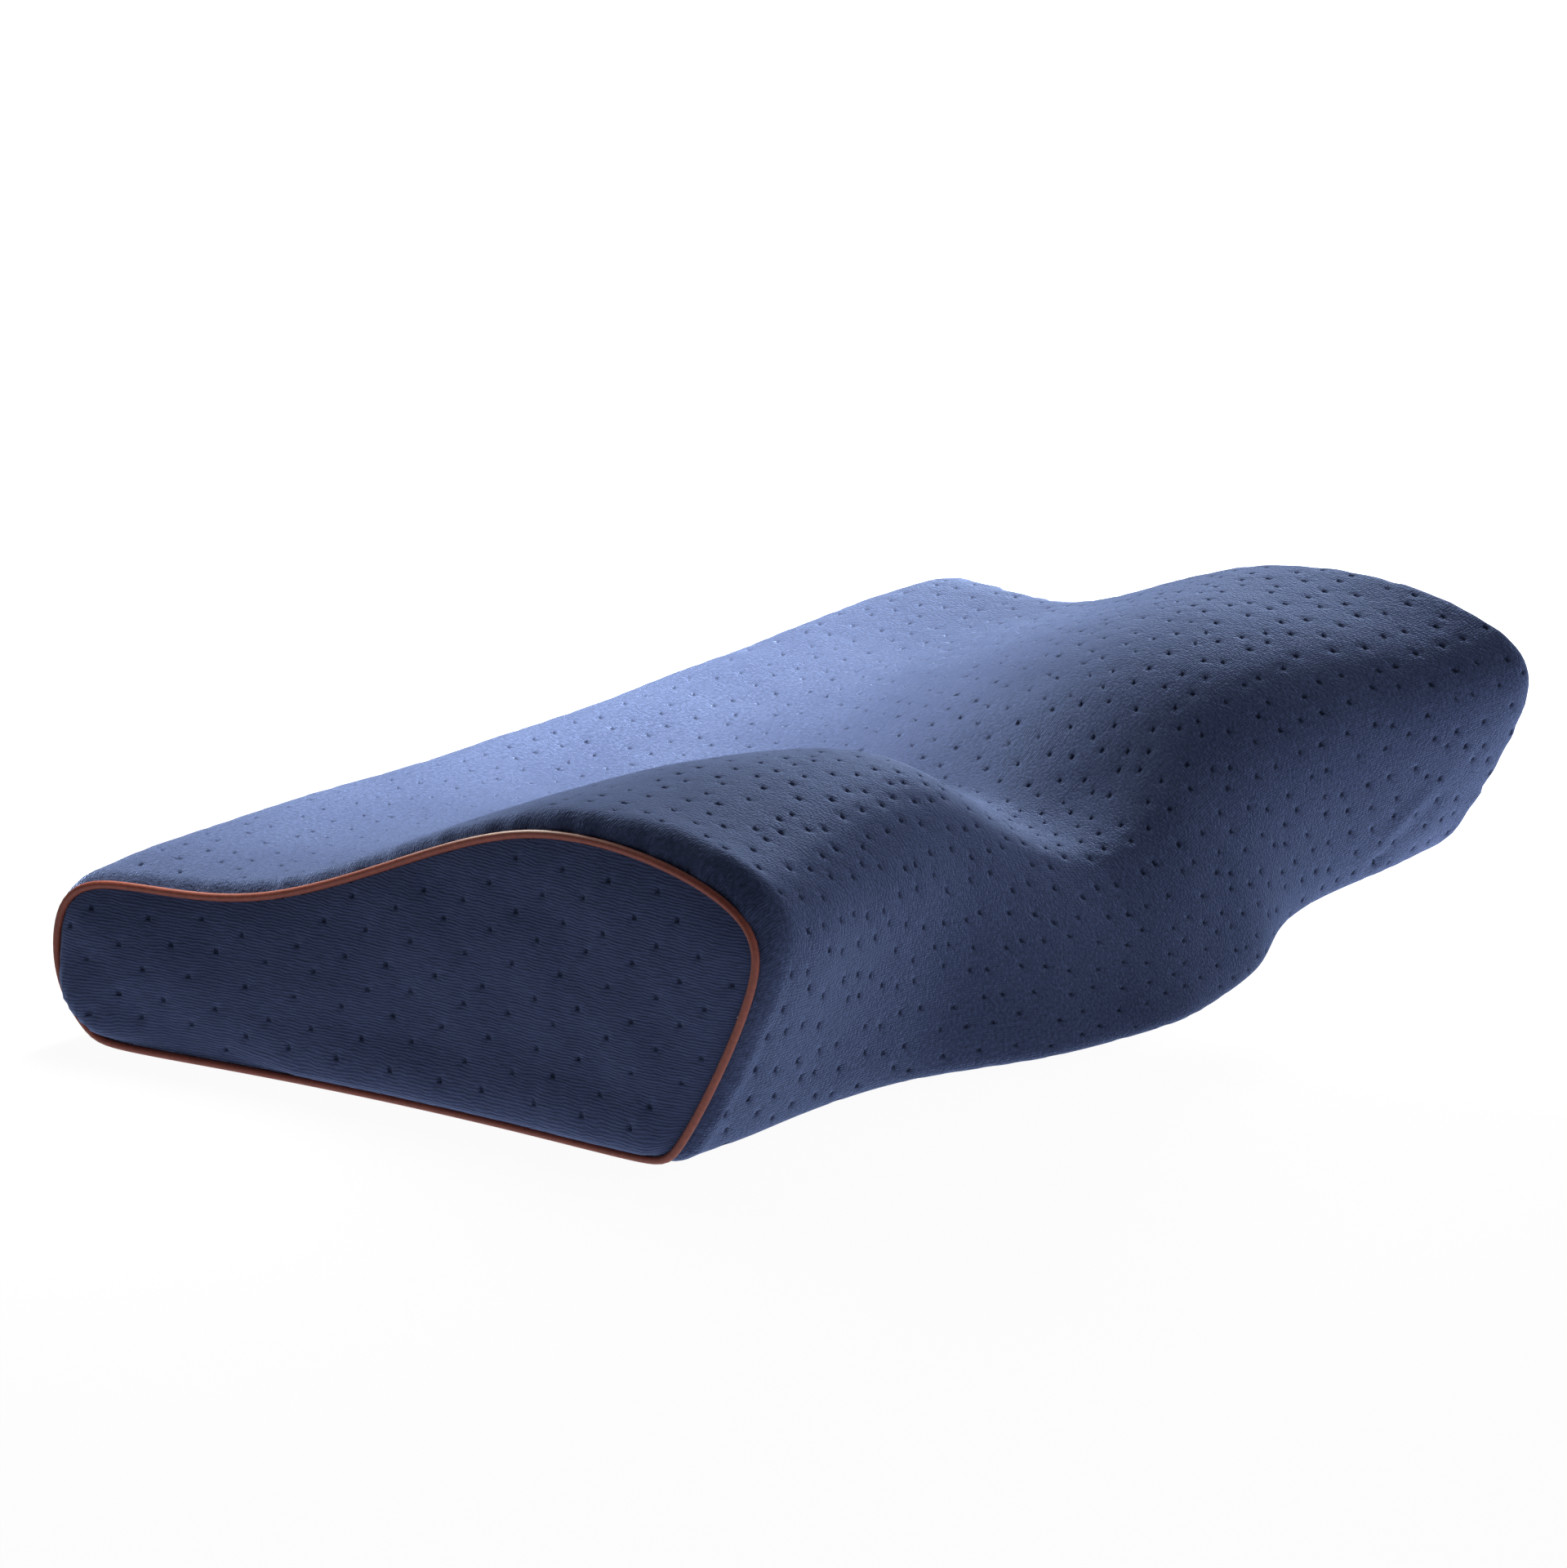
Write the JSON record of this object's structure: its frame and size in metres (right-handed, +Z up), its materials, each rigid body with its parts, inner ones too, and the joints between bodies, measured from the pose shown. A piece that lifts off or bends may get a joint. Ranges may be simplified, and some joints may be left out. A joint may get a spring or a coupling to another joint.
{
  "type": "cervical pillow",
  "caption": "Contoured neck pillow with a low back edge, a head hollow, raised side lobes and a forward neck bump, piped end panels and dimpled knit cover.",
  "frame": {"origin": "centre of the bounding box at its bottom, on the surface the pillow rests on", "axes": "+X along the pillow's length, -Y toward the high neck side, +Z up"},
  "size_m": [0.615, 0.3614, 0.1376],
  "materials": {
    "knit": "short-pile navy knit with small dimples",
    "velour": "fine ribbed navy velour",
    "piping": "smooth brown piping"
  },
  "bodies": {
    "root": {"pillow_body": "knit", "end_panel_left": "velour", "end_panel_right": "velour", "piping_left": "piping", "piping_right": "piping"}
  },
  "joints": []
}
